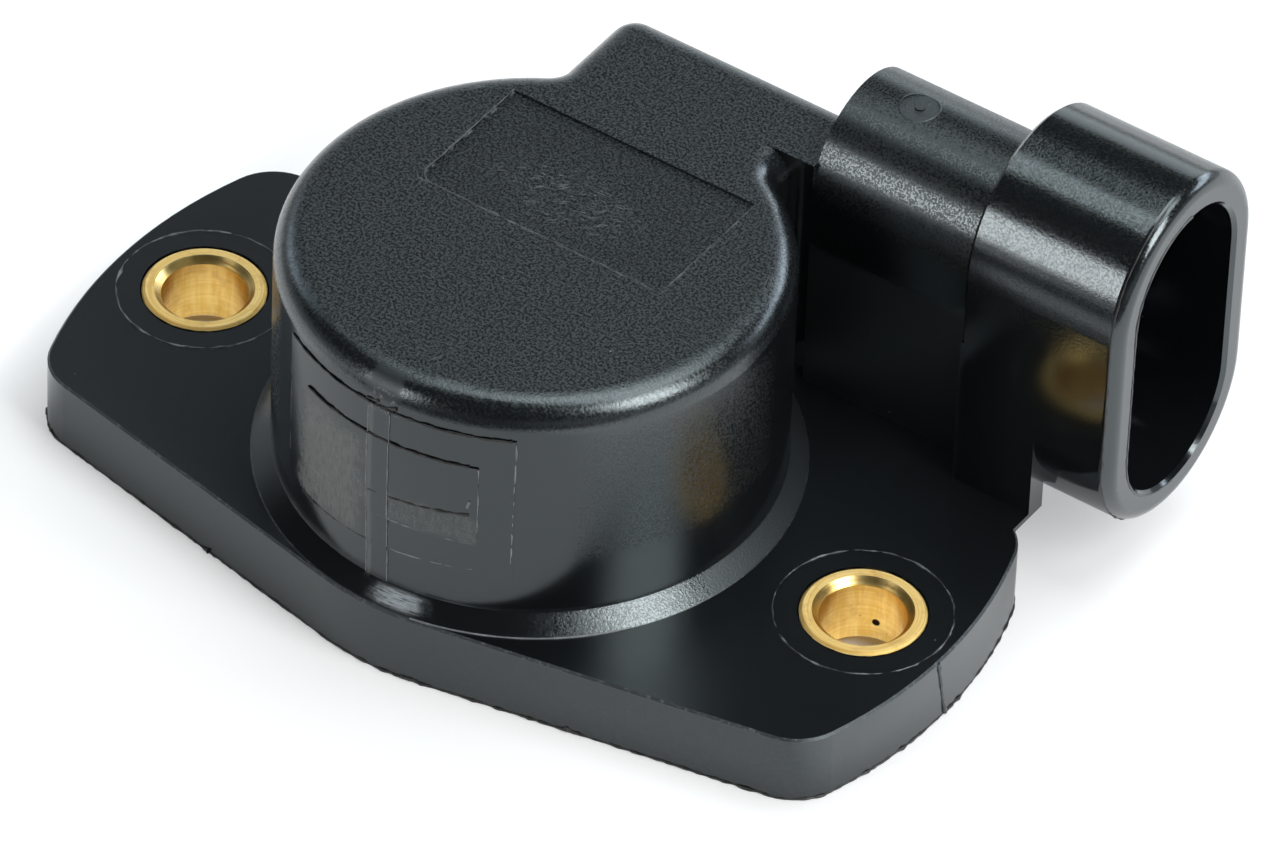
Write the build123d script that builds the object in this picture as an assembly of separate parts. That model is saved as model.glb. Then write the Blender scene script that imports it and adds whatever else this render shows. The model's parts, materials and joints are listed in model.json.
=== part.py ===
from build123d import *
import os
from math import acos, asin, atan2, cos, degrees, hypot, radians, sin, sqrt, tan

# Throttle position sensor: a film potentiometer in one black moulding, turned by the throttle shaft.
# Millimetres. Origin on the rotor's axis at the flange's underside. +X runs along the screw line towards
# the connector's mouth, +Y towards the connector, and +Z up, away from the throttle body.

# Flange and its screw bushes
SCREW_SPACING = 40.0
FLANGE_THICK = 4.0
FLANGE_END_MARGIN = 5.0
FLANGE_EDGE_ANGLE = 11.2
FLANGE_CORNER_R = 3.0
FLANGE_EDGE_BREAK = 0.12
BUSH_R = 3.175
BUSH_BORE_R = 2.2
BUSH_PROUD = 0.1
BUSH_CHAMFER = 0.35
BUSH_CLEARANCE = 0.04

# Round body over the chamber
BODY_R = 12.9
BODY_HEIGHT = 14.0
BODY_WALL = 2.0
BODY_ROOF = 1.8
BODY_TOP_ROUND = 1.5
FLARE_WIDTH = 1.0
FLARE_HEIGHT = 0.85
FLANGE_MID_MARGIN = 0.1

# Shallow marks left by mould inserts: a panel sunk in the top, a window raised in two steps on the front
# wall, and the band down that wall where two inserts met
PANEL_LENGTH = 14.5
PANEL_WIDTH = 8.2
PANEL_SHIFT_Y = 4.27
PANEL_DEPTH = 0.15
WINDOW_HALF_ANGLE = 31.0
WINDOW_LOW = 3.0
WINDOW_HIGH = 12.05
WINDOW_RISE = 0.08
WINDOW_INNER_HALF_ANGLE = 23.0
WINDOW_INNER_LOW = 5.15
WINDOW_INNER_HIGH = 10.1
BAND_ANGLE = -90.7
BAND_HALF_ANGLE = 2.8
BAND_RISE = 0.03

# Neck block between the body and the connector, with the pocket for the film's tail
NECK_HALF_WIDTH = 6.5
NECK_REACH = 4.35
NECK_LEDGE = 1.45
NECK_ROUND = 1.5
NECK_JUNCTION_R = 1.0
NECK_WALL = 1.2
POCKET_LEDGE = 0.65

# Connector: a narrow tube, then the wider shroud that takes the plug and its seal
CONN_INSET = 0.43
CONN_Z = 13.0
TUBE_R = 4.37
TUBE_HALF = 3.2
TUBE_LENGTH = 10.1
TUBE_WALL = 1.5
TUBE_FLOOR = 2.55
SHROUD_R = 6.05
SHROUD_HALF = 4.1
SHROUD_LENGTH = 9.05
SHROUD_WALL = 1.7
SHROUD_FLOOR = 1.95
RIM_ROUND = 0.7
RIM_INNER_CHAMFER = 0.2
SHROUD_BACK_BREAK = 0.2
WEB_THICK = 1.2
WEB_LENGTH = 4.55
SHELF_THICK = 1.5
SHELF_LIP = 0.3
LATCH_WIDTH = 4.0
LATCH_LENGTH = 2.6
LATCH_HEIGHT = 1.2
LATCH_SETBACK = 3.0
GATE_R = 1.0
GATE_SHIFT_X = 3.25
GATE_DEPTH = 0.12
GATE_NUB_R = 0.25
GATE_NUB_RISE = 0.1

# Stamped terminals
TERMINAL_PITCH = 5.0
TAIL_PITCH = 3.2
TAIL_Z_SHIFT = -1.8
BLADE_WIDTH = 1.5
BLADE_THICK = 0.64
BLADE_LENGTH = 8.0
RISER_INSET = 0.95
TAIL_END_GAP = 1.2

# Retainer plate, staked over posts of the housing
PLATE_RECESS = 1.0
PLATE_THICK = 1.4
PLATE_CLEARANCE = 0.1
PLATE_LEDGE = 1.4
STAKE_R = 0.5
STAKE_HEAD_R = 0.9
STAKE_HEAD_HEIGHT = 0.35
STAKE_CLEARANCE = 0.05
STAKE_COUNT = 4

# Rotor
SHAFT_SOCKET_R = 3.5
SHAFT_SOCKET_FLAT = 2.45
SHAFT_SOCKET_DEPTH = 8.0
ROTOR_RECESS = 0.6
JOURNAL_CLEARANCE = 0.05
SHOULDER_WIDTH = 1.0
DRUM_TOP_Z = 12.4
PIVOT_R = 2.0
PIVOT_CLEARANCE = 0.05
PIVOT_END_GAP = 0.3
PIVOT_BOSS_WALL = 1.35
ARM_FILM_GAP = 1.35
ARM_HALF_WIDTH = 2.6
ARM_HEIGHT = 4.2
LUG_HALF_WIDTH = 1.2
LUG_DRUM_GAP = 0.4
LUG_LENGTH = 1.8
LUG_HEIGHT = 2.2
STOP_HALF_WIDTH = 0.8
STOP_GAP = 0.3
TURN_REST_ANGLE = 180.0
TURN_RANGE = 100.0

# Rotor seal and return spring
SEAL_WIDTH = 1.7
SEAL_HEIGHT = 1.6
SEAL_LIP = 0.5
SEAL_CLEARANCE = 0.1
SPRING_DRUM_GAP = 0.5
SPRING_WIRE = 0.6
SPRING_PITCH = 0.85
SPRING_FULL_TURNS = 3
SPRING_LIFT = 0.25
SPRING_LEG_WALL_GAP = 1.0
SPRING_TOP_LEG = 4.5
SPRING_CLEARANCE = 0.3
PEG_R = 0.6
PEG_INSET = 0.8
PEG_LEAN = 0.2
PEG_LENGTH = 1.3
ANCHOR_HALF_WIDTH = 0.6
ANCHOR_LENGTH = 2.4
ANCHOR_HEIGHT = 3.6

# Film, its wedge and the wiper
FILM_THICK = 0.3
FILM_CLEARANCE = 0.05
FILM_LOW_Z = 6.5
FILM_TOP_GAP = 0.7
FILM_SWEEP = 230.0
FILM_TAIL_END_GAP = 0.6
FILM_SLOT_GAP = 0.2
WEDGE_CLEARANCE = 0.05
WEDGE_TAPER = 0.5
POCKET_FRONT_WALL = 1.3
WIPER_THICK = 0.25
WIPER_FINGER_REACH = 2.0
WIPER_FINGER_WIDTH = 0.6
WIPER_FINGER_GAP = 0.3
WIPER_FINGERS = 4
WIPER_TIP_GAP = 0.25

# How near to a circle a corner lies when it counts as on it
NEAR = 1e-4

# Heights and places that follow from the sizes above
FLANGE_END_R = SCREW_SPACING / 2 + FLANGE_END_MARGIN
FLANGE_MID_R = BODY_R + FLARE_WIDTH + FLANGE_MID_MARGIN
BODY_TOP_Z = FLANGE_THICK + BODY_HEIGHT
ROOF_Z = BODY_TOP_Z - BODY_ROOF
LEDGE_Z = PLATE_RECESS + PLATE_THICK
CHAMBER_R = BODY_R - BODY_WALL
PLATE_SEAT_R = CHAMBER_R + PLATE_LEDGE
STAKE_PLACE_R = CHAMBER_R + PLATE_LEDGE / 2

NECK_BACK_Y = BODY_R + NECK_REACH
CONN_Y = NECK_BACK_Y - CONN_INSET
TUBE_X = NECK_HALF_WIDTH + NECK_LEDGE
SHROUD_X = TUBE_X + TUBE_LENGTH
MOUTH_X = SHROUD_X + SHROUD_LENGTH
TUBE_FRONT_Y = CONN_Y - TUBE_R
SHROUD_FRONT_Y = CONN_Y - SHROUD_R
WEB_END_X = SHROUD_X + WEB_LENGTH
NOSE_FLOOR_X = TUBE_X + TUBE_FLOOR
SEAL_FLOOR_X = SHROUD_X + SHROUD_FLOOR

SEAT_X = NECK_HALF_WIDTH - NECK_WALL
SEAT_Y = NECK_BACK_Y - NECK_WALL
POCKET_X = SEAT_X - POCKET_LEDGE
POCKET_BACK_Y = SEAT_Y - POCKET_LEDGE
POCKET_FRONT_Y = CHAMBER_R + POCKET_FRONT_WALL

SHOULDER_Z = LEDGE_Z + SEAL_HEIGHT + SEAL_CLEARANCE
ARM_Z = DRUM_TOP_Z - ARM_HEIGHT
STOP_Z = DRUM_TOP_Z + 2 * STOP_GAP
FILM_R = CHAMBER_R - FILM_CLEARANCE - FILM_THICK / 2
FILM_TOP_Z = ROOF_Z - FILM_TOP_GAP
ARM_REACH = FILM_R - FILM_THICK / 2 - ARM_FILM_GAP
PEG_PLACE_R = ARM_REACH - PEG_INSET
SPRING_LEG_R = PEG_PLACE_R - PEG_LEAN
SPRING_R = SPRING_LEG_R - PEG_R - SPRING_CLEARANCE - SPRING_WIRE / 2
SPRING_LOW_LEG = sqrt((CHAMBER_R - SPRING_LEG_WALL_GAP) ** 2 - SPRING_R**2)
DRUM_R = SPRING_R - SPRING_WIRE / 2 - SPRING_DRUM_GAP
JOURNAL_R = DRUM_R - SHOULDER_WIDTH
LUG_INNER_R = DRUM_R + LUG_DRUM_GAP
LUG_OUTER_R = LUG_INNER_R + LUG_LENGTH
FILM_TAIL_X = -POCKET_X + FILM_SLOT_GAP + FILM_THICK / 2
FILM_TAIL_Y = POCKET_BACK_Y - BLADE_THICK - FILM_CLEARANCE - FILM_THICK / 2
SLOT_WIDTH = FILM_THICK + 2 * FILM_SLOT_GAP


def box_between(low, high):
    """A box from its lowest to its highest corner."""
    size = [b - a for a, b in zip(low, high)]
    return Pos(*low) * Box(*size, align=(Align.MIN, Align.MIN, Align.MIN))


def post(radius, low_z, high_z):
    """An upright round post on the rotor's axis, between two heights."""
    return Pos(0, 0, low_z) * Cylinder(radius, high_z - low_z, align=(Align.CENTER, Align.CENTER, Align.MIN))


def stadium(radius, half, low_x, high_x, taper=0):
    """A prism along X of the connector's round-ended section, which a negative taper widens."""
    section = Plane.YZ.offset(low_x) * Pos(CONN_Y, CONN_Z) * SlotCenterToCenter(2 * half, 2 * radius, 90)
    return extrude(section, high_x - low_x, dir=(1, 0, 0), taper=taper)


def around(angle):
    """A turn about the rotor's axis."""
    return Rot(0, 0, angle)


def sector(inner_r, outer_r, low_z, high_z, half_angle, centre_angle):
    """A block of a ring between two angles either side of a centre angle."""
    ring = post(outer_r, low_z, high_z) - post(inner_r, low_z, high_z)
    far_x = 2 * outer_r
    far_y = far_x * tan(radians(half_angle))
    wedge = Polygon((0, 0), (far_x, -far_y), (far_x, far_y), align=None)
    cut = Pos(0, 0, low_z) * extrude(wedge, high_z - low_z, dir=(0, 0, 1))
    return ring & around(centre_angle) * cut


def flange():
    """The two-eared plate: four edges tangent to the middle circle, cut off by the end arcs."""
    slope = radians(FLANGE_EDGE_ANGLE)
    tip_x = FLANGE_MID_R / sin(slope)
    tip_y = FLANGE_MID_R / cos(slope)
    lozenge = Polygon((tip_x, 0), (0, tip_y), (-tip_x, 0), (0, -tip_y), align=None)
    sides = lozenge.vertices().sort_by(Axis.Y)
    outline = fillet([sides[0], sides[-1]], FLANGE_MID_R)
    outline = outline & Circle(FLANGE_END_R)
    corners = [v for v in outline.vertices() if abs(hypot(v.X, v.Y) - FLANGE_END_R) < NEAR]
    outline = fillet(corners, FLANGE_CORNER_R)
    plate = extrude(outline, FLANGE_THICK)
    return chamfer(plate.faces().sort_by(Axis.Z)[-1].edges(), FLANGE_EDGE_BREAK)


def body_and_neck():
    """The round body with the neck block behind it, with one rounding along their shared top edge."""
    block = box_between((-NECK_HALF_WIDTH, 0, 0), (NECK_HALF_WIDTH, NECK_BACK_Y, BODY_TOP_Z))
    far_corner = block.edges().filter_by(Axis.Z).sort_by(Axis.Y)[-2:].sort_by(Axis.X)[0]
    block = fillet(far_corner, NECK_ROUND)
    body = post(BODY_R, 0, BODY_TOP_Z) + block
    uprights = body.edges().filter_by(Axis.Z)
    junctions = [e for e in uprights if abs(hypot(e.center().X, e.center().Y) - BODY_R) < NEAR]
    body = fillet(junctions, NECK_JUNCTION_R)
    body = fillet(body.faces().sort_by(Axis.Z)[-1].edges(), BODY_TOP_ROUND)
    ledge = box_between((0, TUBE_FRONT_Y, 0), (TUBE_X, NECK_BACK_Y, BODY_TOP_Z))
    far_edge = ledge.edges().filter_by(Axis.X).group_by(Axis.Z)[-1].sort_by(Axis.Y)[-1]
    return body + fillet(far_edge, BODY_TOP_ROUND)


def flare():
    """The low cone that eases the round body into the flange."""
    return Pos(0, 0, FLANGE_THICK) * Cone(
        BODY_R + FLARE_WIDTH, BODY_R, FLARE_HEIGHT, align=(Align.CENTER, Align.CENTER, Align.MIN)
    )


def shelf():
    """The continuation of the flange's top under the connector's webs, thinned at its free end."""
    low_z = FLANGE_THICK - SHELF_THICK
    slant = SHELF_THICK - SHELF_LIP
    profile = Plane.XZ * Polygon(
        (0, FLANGE_THICK), (WEB_END_X, FLANGE_THICK), (WEB_END_X, FLANGE_THICK - SHELF_LIP),
        (WEB_END_X - slant, low_z), (0, low_z), align=None
    )
    long_part = extrude(profile, SHROUD_FRONT_Y + WEB_THICK, dir=(0, 1, 0))
    near_part = box_between((0, 0, low_z), (SHROUD_X, TUBE_FRONT_Y + WEB_THICK, FLANGE_THICK))
    return long_part + near_part


def connector():
    """The tube, the shroud with its rounded rim, the webs down to the shelf, and the latch ramp."""
    tube = stadium(TUBE_R, TUBE_HALF, TUBE_X, SHROUD_X)
    shroud = stadium(SHROUD_R, SHROUD_HALF, SHROUD_X, MOUTH_X)
    shroud = fillet(shroud.faces().sort_by(Axis.X)[-1].edges(), RIM_ROUND)
    shroud = chamfer(shroud.faces().sort_by(Axis.X)[0].edges(), SHROUD_BACK_BREAK)
    low_z = FLANGE_THICK - SHELF_LIP
    tube_web = box_between(
        (TUBE_X, TUBE_FRONT_Y, low_z), (SHROUD_X + WEB_THICK, TUBE_FRONT_Y + WEB_THICK, CONN_Z)
    )
    shroud_web = box_between(
        (SHROUD_X, SHROUD_FRONT_Y, low_z), (WEB_END_X, SHROUD_FRONT_Y + WEB_THICK, CONN_Z)
    )
    back_y = CONN_Y + SHROUD_R
    latch_end = MOUTH_X - LATCH_SETBACK
    ramp = Pos(0, 0, CONN_Z - LATCH_WIDTH / 2) * extrude(
        Polygon(
            (latch_end, back_y - SHROUD_WALL / 2), (latch_end, back_y),
            (latch_end - LATCH_LENGTH, back_y + LATCH_HEIGHT),
            (latch_end - LATCH_LENGTH, back_y - SHROUD_WALL / 2), align=None
        ),
        LATCH_WIDTH, dir=(0, 0, 1)
    )
    return tube + shroud + tube_web + shroud_web + ramp


def connector_hollow():
    """The stepped space for the plug: a wide part for its seal, then a narrow one round the blades."""
    seal_r = SHROUD_R - SHROUD_WALL
    nose = stadium(TUBE_R - TUBE_WALL, TUBE_HALF, NOSE_FLOOR_X, SEAL_FLOOR_X)
    seal_space = stadium(seal_r, SHROUD_HALF, SEAL_FLOOR_X, MOUTH_X)
    lead_in = stadium(seal_r, SHROUD_HALF, MOUTH_X - RIM_INNER_CHAMFER, MOUTH_X, -45)
    return nose + seal_space + lead_in


def gate_mark(solid):
    """The round dimple and nub where the moulding was filled, on the tube's crest."""
    crest_z = CONN_Z + TUBE_HALF + TUBE_R
    floor_z = crest_z - GATE_DEPTH
    place = Pos(TUBE_X + GATE_SHIFT_X, CONN_Y, 0)
    dimpled = solid - place * post(GATE_R, floor_z, crest_z + GATE_DEPTH)
    return dimpled + place * post(GATE_NUB_R, floor_z, floor_z + GATE_NUB_RISE)


def top_panel():
    """The shallow panel sunk in the top."""
    return Pos(0, PANEL_SHIFT_Y, BODY_TOP_Z) * Box(PANEL_LENGTH, PANEL_WIDTH, 2 * PANEL_DEPTH)


def on_front_wall(rise, low, high, half_angle, angle=-90):
    """A patch raised on the front wall, between two heights over the flange."""
    root_r = CHAMBER_R + BODY_WALL / 2
    return sector(root_r, BODY_R + rise, FLANGE_THICK + low, FLANGE_THICK + high, half_angle, angle)


def front_marks():
    """The window raised in two steps, and the band that runs down over both steps to the flare."""
    marks = on_front_wall(BAND_RISE, 0, WINDOW_HIGH, BAND_HALF_ANGLE, BAND_ANGLE)
    steps = (
        (WINDOW_RISE, WINDOW_LOW, WINDOW_HIGH, WINDOW_HALF_ANGLE),
        (2 * WINDOW_RISE, WINDOW_INNER_LOW, WINDOW_INNER_HIGH, WINDOW_INNER_HALF_ANGLE),
    )
    for rise, low, high, half_angle in steps:
        marks += on_front_wall(rise, low, high, half_angle)
        marks += on_front_wall(rise + BAND_RISE, low, high, BAND_HALF_ANGLE, BAND_ANGLE)
    return marks


def plate_outline(clearance):
    """The keyhole outline that the plate and its seat share, drawn in by a clearance."""
    tab_x = SEAT_X - clearance
    tab = Pos(0, (SEAT_Y - clearance) / 2) * Rectangle(2 * tab_x, SEAT_Y - clearance)
    return Circle(PLATE_SEAT_R - clearance) + tab


def pocket_profile(clearance):
    """The pocket's section across X: its back is upright and its front leans, to wedge the film's tail."""
    low_z = LEDGE_Z + clearance
    front_y = POCKET_FRONT_Y + clearance
    return [(front_y, low_z), (front_y + WEDGE_TAPER, ROOF_Z - clearance)]


def prism_along_x(points, low_x, high_x):
    """A prism along X from corners given as Y and Z."""
    section = Plane.YZ.offset(low_x) * Polygon(*points, align=None)
    return extrude(section, high_x - low_x, dir=(1, 0, 0))


def film_pocket():
    """The pocket behind the chamber's wall, with the slot that lets the film in."""
    front = pocket_profile(0)
    pocket = prism_along_x(front + [(POCKET_BACK_Y, ROOF_Z), (POCKET_BACK_Y, LEDGE_Z)], -POCKET_X, POCKET_X)
    slot = box_between((-POCKET_X, 0, LEDGE_Z), (-POCKET_X + SLOT_WIDTH, POCKET_BACK_Y, ROOF_Z))
    return pocket + slot


def stop_angle():
    """Angle between the lug's and a stop's middle when the stop gap is left between them."""
    lug = asin(LUG_HALF_WIDTH / LUG_INNER_R)
    stop = asin(STOP_HALF_WIDTH / LUG_INNER_R)
    return degrees(lug + stop + STOP_GAP / LUG_INNER_R)


def roof_fittings():
    """The pivot's boss and the two stops that hang from the roof."""
    boss_low_z = DRUM_TOP_Z + PIVOT_END_GAP
    fittings = post(PIVOT_R + PIVOT_CLEARANCE + PIVOT_BOSS_WALL, boss_low_z, ROOF_Z)
    fittings -= post(PIVOT_R + PIVOT_CLEARANCE, boss_low_z, ROOF_Z)
    stop = box_between((LUG_INNER_R, -STOP_HALF_WIDTH, STOP_Z), (LUG_OUTER_R, STOP_HALF_WIDTH, ROOF_Z))
    fittings += around(TURN_REST_ANGLE - stop_angle()) * stop
    fittings += around(TURN_REST_ANGLE + TURN_RANGE + stop_angle()) * stop
    return fittings


def spring_anchor():
    """The rib on the chamber's wall that the spring's lower leg leans on."""
    tip_angle = -degrees(atan2(SPRING_LOW_LEG, SPRING_R))
    tip_r = hypot(SPRING_LOW_LEG, SPRING_R)
    away = degrees((SPRING_WIRE / 2 + ANCHOR_HALF_WIDTH + SPRING_CLEARANCE) / tip_r / cos(radians(tip_angle)))
    rib = box_between(
        (CHAMBER_R + BODY_WALL / 2 - ANCHOR_LENGTH, -ANCHOR_HALF_WIDTH, LEDGE_Z),
        (CHAMBER_R + BODY_WALL / 2, ANCHOR_HALF_WIDTH, LEDGE_Z + ANCHOR_HEIGHT),
    )
    return around(tip_angle + away) * rib


def stakes():
    """The posts that hold the retainer plate, with their heads formed over it."""
    stake = post(STAKE_R, PLATE_RECESS, LEDGE_Z) + post(
        STAKE_HEAD_R, PLATE_RECESS - STAKE_HEAD_HEIGHT, PLATE_RECESS
    )
    places = [around(45 + 360 / STAKE_COUNT * i) * Pos(STAKE_PLACE_R, 0, 0) for i in range(STAKE_COUNT)]
    return [place * stake for place in places]


def housing(terminals):
    """The one moulding, with the terminals' shapes left open where it was moulded round them."""
    solid = flange() + body_and_neck() + flare() + shelf() + connector()
    solid -= post(CHAMBER_R, LEDGE_Z, ROOF_Z)
    solid -= extrude(plate_outline(0), LEDGE_Z)
    solid -= film_pocket()
    solid -= connector_hollow()
    solid -= top_panel()
    solid += front_marks()
    for side in (-1, 1):
        solid -= Pos(side * SCREW_SPACING / 2, 0, 0) * post(BUSH_R + BUSH_CLEARANCE, 0, FLANGE_THICK)
    solid = gate_mark(solid)
    solid += roof_fittings()
    solid += spring_anchor()
    for stake in stakes():
        solid += stake
    for terminal in terminals:
        solid -= terminal
    return solid


def bush():
    """A turned brass bush, chamfered inside and lightly outside at both ends."""
    height = FLANGE_THICK + BUSH_PROUD
    edge = BUSH_CHAMFER / 2
    profile = Plane.XZ * Polygon(
        (BUSH_BORE_R, BUSH_CHAMFER), (BUSH_BORE_R + BUSH_CHAMFER, 0), (BUSH_R - edge, 0), (BUSH_R, edge),
        (BUSH_R, height - edge), (BUSH_R - edge, height), (BUSH_BORE_R + BUSH_CHAMFER, height),
        (BUSH_BORE_R, height - BUSH_CHAMFER), align=None
    )
    return revolve(profile, Axis.Z)


def terminal(blade_z, tail_z):
    """A blade in the connector, a riser moulded into the tube's end wall, and a tail in the pocket."""
    half_thick = BLADE_THICK / 2
    half_width = BLADE_WIDTH / 2
    riser_x = TUBE_X + RISER_INSET
    low_z = min(blade_z - half_thick, tail_z - half_width)
    high_z = max(blade_z + half_thick, tail_z + half_width)
    tail_low_y = POCKET_BACK_Y - BLADE_THICK
    blade = box_between(
        (riser_x, CONN_Y - half_width, blade_z - half_thick),
        (NOSE_FLOOR_X + BLADE_LENGTH, CONN_Y + half_width, blade_z + half_thick),
    )
    tip = blade.edges().filter_by(Axis.Y).group_by(Axis.X)[-1]
    blade = chamfer(tip, BLADE_THICK / 4, BLADE_THICK / 2)
    riser = box_between((riser_x, tail_low_y, low_z), (riser_x + BLADE_THICK, CONN_Y + half_width, high_z))
    tail = box_between(
        (-POCKET_X + TAIL_END_GAP, tail_low_y, tail_z - half_width),
        (riser_x + BLADE_THICK, POCKET_BACK_Y, tail_z + half_width),
    )
    return blade + riser + tail


def film_element():
    """The printed film: an arc along the chamber's wall, then a tail through the slot over the terminals."""
    leave_y = sqrt(FILM_R**2 - FILM_TAIL_X**2)
    leave_angle = degrees(atan2(leave_y, FILM_TAIL_X))
    arc = CenterArc((0, 0), FILM_R, leave_angle, FILM_SWEEP)
    bend_y = FILM_TAIL_Y - FILM_THICK
    way_in = Line((FILM_TAIL_X, leave_y), (FILM_TAIL_X, bend_y))
    bend = CenterArc((FILM_TAIL_X + FILM_THICK, bend_y), FILM_THICK, 180, -90)
    tail = Line((FILM_TAIL_X + FILM_THICK, FILM_TAIL_Y), (POCKET_X - FILM_TAIL_END_GAP, FILM_TAIL_Y))
    outline = trace([arc, way_in, bend, tail], FILM_THICK)
    return Pos(0, 0, FILM_LOW_Z) * extrude(outline, FILM_TOP_Z - FILM_LOW_Z, dir=(0, 0, 1))


def film_wedge():
    """The wedge that fills the pocket between its leaning front and the film's tail."""
    back_y = FILM_TAIL_Y - FILM_THICK / 2 - WEDGE_CLEARANCE
    front = pocket_profile(WEDGE_CLEARANCE)
    low_x = -POCKET_X + SLOT_WIDTH + WEDGE_CLEARANCE
    points = front + [(back_y, ROOF_Z - WEDGE_CLEARANCE), (back_y, LEDGE_Z + WEDGE_CLEARANCE)]
    return prism_along_x(points, low_x, POCKET_X - WEDGE_CLEARANCE)


def shaft_socket():
    """The D-shaped hole for the throttle shaft."""
    round_hole = post(SHAFT_SOCKET_R, ROTOR_RECESS, ROTOR_RECESS + SHAFT_SOCKET_DEPTH)
    flat_side = box_between(
        (-SHAFT_SOCKET_R, SHAFT_SOCKET_FLAT, 0), (SHAFT_SOCKET_R, 2 * SHAFT_SOCKET_R, DRUM_TOP_Z)
    )
    return round_hole - flat_side


def rotor():
    """The hub with its journal, drum and pivot, and the arm with its stop lug and spring peg."""
    hub = post(JOURNAL_R, ROTOR_RECESS, SHOULDER_Z) + post(DRUM_R, SHOULDER_Z, DRUM_TOP_Z)
    hub += post(PIVOT_R, DRUM_TOP_Z, ROOF_Z - PIVOT_END_GAP)
    arm = box_between((0, -ARM_HALF_WIDTH, ARM_Z), (ARM_REACH, ARM_HALF_WIDTH, DRUM_TOP_Z))
    lug = box_between(
        (LUG_INNER_R, -LUG_HALF_WIDTH, DRUM_TOP_Z), (LUG_OUTER_R, LUG_HALF_WIDTH, DRUM_TOP_Z + LUG_HEIGHT)
    )
    peg = Pos(PEG_PLACE_R, 0, 0) * post(PEG_R, ARM_Z - PEG_LENGTH, ARM_Z)
    return around(TURN_REST_ANGLE) * (hub + arm + lug + peg) - shaft_socket()


def contact_wiper():
    """The sprung contact: a base on the arm's end and a row of fingers that lean out to the film."""
    middle_z = (ARM_Z + DRUM_TOP_Z) / 2
    pitch = WIPER_FINGER_WIDTH + WIPER_FINGER_GAP
    half_height = (WIPER_FINGERS * pitch - WIPER_FINGER_GAP) / 2
    base_x = ARM_REACH + WIPER_THICK
    wiper = box_between(
        (ARM_REACH, -ARM_HALF_WIDTH, middle_z - half_height),
        (base_x, ARM_HALF_WIDTH, middle_z + half_height),
    )
    tip_r = FILM_R - FILM_THICK / 2 - WIPER_TIP_GAP
    tip_y = ARM_HALF_WIDTH + WIPER_FINGER_REACH
    tip_x = sqrt(tip_r**2 - tip_y**2)
    finger = Polygon(
        (ARM_REACH, ARM_HALF_WIDTH), (base_x, ARM_HALF_WIDTH), (tip_x, tip_y),
        (tip_x - WIPER_THICK, tip_y), align=None
    )
    for i in range(WIPER_FINGERS):
        low_z = middle_z - half_height + i * pitch
        wiper += Pos(0, 0, low_z) * extrude(finger, WIPER_FINGER_WIDTH, dir=(0, 0, 1))
    return around(TURN_REST_ANGLE) * wiper


def return_spring():
    """The torsion spring of square wire, with one straight leg to the anchor and one to the arm's peg."""
    low_z = SHOULDER_Z + SPRING_LIFT + SPRING_WIRE / 2
    end_angle = TURN_REST_ANGLE - degrees(acos(SPRING_LEG_R / PEG_PLACE_R))
    turns = SPRING_FULL_TURNS + end_angle / 360
    coil = Pos(0, 0, low_z) * Helix(SPRING_PITCH, SPRING_PITCH * turns, SPRING_R)
    low_leg = Line(coil @ 0 - (coil % 0) * SPRING_LOW_LEG, coil @ 0)
    top_leg = Line(coil @ 1, coil @ 1 + (coil % 1) * SPRING_TOP_LEG)
    path = Wire([low_leg, *coil.edges(), top_leg])
    start = Plane(origin=low_leg @ 0, x_dir=(1, 0, 0), z_dir=low_leg % 0)
    return sweep(start * Rectangle(SPRING_WIRE, SPRING_WIRE), path)


def rotor_seal():
    """The rubber ring that lies on the retainer plate, with a lip towards the rotor's journal."""
    lip_r = JOURNAL_R + SEAL_CLEARANCE
    outer_r = lip_r + SEAL_WIDTH
    middle_z = LEDGE_Z + SEAL_HEIGHT / 2
    profile = Plane.XZ * Polygon(
        (lip_r, middle_z), (lip_r + SEAL_LIP, LEDGE_Z), (outer_r, LEDGE_Z),
        (outer_r, LEDGE_Z + SEAL_HEIGHT), (lip_r + SEAL_LIP, LEDGE_Z + SEAL_HEIGHT), align=None
    )
    return revolve(profile, Axis.Z)


def retainer_plate():
    """The plate that closes the chamber and the film's pocket, with the rotor's bearing hole."""
    plate = Pos(0, 0, PLATE_RECESS) * extrude(plate_outline(PLATE_CLEARANCE), PLATE_THICK)
    plate -= post(JOURNAL_R + JOURNAL_CLEARANCE, PLATE_RECESS, LEDGE_Z)
    hole = post(STAKE_R + STAKE_CLEARANCE, PLATE_RECESS, LEDGE_Z)
    for i in range(STAKE_COUNT):
        plate -= around(45 + 360 / STAKE_COUNT * i) * Pos(STAKE_PLACE_R, 0, 0) * hole
    return plate


def terminal_set():
    """The three terminals by name, from the top of the connector down."""
    names = ["terminal_supply", "terminal_signal", "terminal_ground"]
    rows = [1, 0, -1]
    return {
        name: terminal(CONN_Z + row * TERMINAL_PITCH, CONN_Z + TAIL_Z_SHIFT + row * TAIL_PITCH)
        for name, row in zip(names, rows)
    }


terminals = terminal_set()
nodes = {
    "housing": housing(terminals.values()),
    "left_bush": Pos(-SCREW_SPACING / 2, 0, 0) * bush(),
    "right_bush": Pos(SCREW_SPACING / 2, 0, 0) * bush(),
    **terminals,
    "film_element": film_element(),
    "film_wedge": film_wedge(),
    "rotor": rotor(),
    "contact_wiper": contact_wiper(),
    "return_spring": return_spring(),
    "rotor_seal": rotor_seal(),
    "retainer_plate": retainer_plate(),
}

os.makedirs("parts", exist_ok=True)
for name, shape in nodes.items():
    export_step(shape, f"parts/{name}.step")
    print(name, len(shape.solids()), "solid", round(shape.volume, 2), "mm3")
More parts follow.
